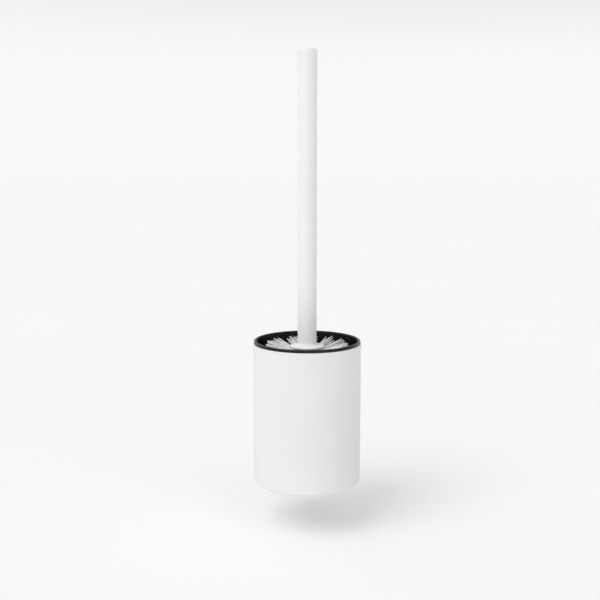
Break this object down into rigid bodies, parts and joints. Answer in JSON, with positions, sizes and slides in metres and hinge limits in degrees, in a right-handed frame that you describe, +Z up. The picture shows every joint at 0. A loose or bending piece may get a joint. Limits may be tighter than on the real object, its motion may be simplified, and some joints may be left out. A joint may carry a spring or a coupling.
{
  "type": "toilet brush holder",
  "caption": "Wall-hung cylindrical toilet brush holder with a black liner cup and a straight-handled brush standing in it.",
  "frame": {"origin": "centre of the wall plate's back face, on the wall", "axes": "+Y into the wall, +X to the right of someone facing the wall, +Z up along the handle"},
  "size_m": [0.1, 0.12, 0.395],
  "materials": {
    "white_powder_coat": "satin",
    "white_plastic": "satin",
    "black_plastic": "satin",
    "bristle": "satin",
    "die_cast": "matte",
    "stainless_steel": "satin",
    "anchor_wire": "satin",
    "washer_rubber": "matte"
  },
  "bodies": {
    "wall_mount": {"wall_plate": "die_cast"},
    "holder": {"outer_shell": "white_powder_coat", "hanger_block": "white_powder_coat", "holder_screws": "stainless_steel"},
    "grub": {"grub_screw": "stainless_steel"},
    "liner": {"liner_cup": "black_plastic"},
    "brush_head": {"head_core": "white_plastic", "bristle_ring_1": "bristle", "bristle_ring_2": "bristle", "bristle_ring_3": "bristle", "bristle_ring_4": "bristle", "bristle_ring_5": "bristle", "bristle_ring_6": "bristle", "bristle_ring_7": "bristle", "bristle_crown": "bristle", "bristle_toe": "bristle", "tuft_anchors": "anchor_wire"},
    "washer": {"head_washer": "washer_rubber"},
    "handle": {"handle_tube": "white_powder_coat", "handle_cap": "white_plastic", "drip_collar": "white_powder_coat", "handle_stud": "stainless_steel"}
  },
  "joints": [
    {"name": "holder_lift", "type": "slide", "parent": "wall_mount", "child": "holder", "axis": [0, 0, 1], "range_m": [0, 0.035]},
    {"name": "grub_travel", "type": "slide", "parent": "holder", "child": "grub", "axis": [0, -0.342, -0.9397], "range_m": [0, 0.003]},
    {"name": "liner_lift", "type": "slide", "parent": "holder", "child": "liner", "axis": [0, 0, 1], "range_m": [0, 0.13]},
    {"name": "brush_lift", "type": "slide", "parent": "liner", "child": "brush_head", "axis": [0, 0, 1], "range_m": [0, 0.125]},
    {"name": "handle_travel", "type": "slide", "parent": "brush_head", "child": "washer", "axis": [0, 0, 1], "range_m": [0, 0.0121]},
    {"name": "handle_turn", "type": "hinge", "parent": "washer", "child": "handle", "pos_m": [0, -0.07, 0.0444], "axis": [0, 0, 1], "range_deg": [0, 2880]}
  ],
  "couplings": [
    {"joint": "handle_travel", "follows": "handle_turn", "m_per_rad": 0.00023873}
  ]
}
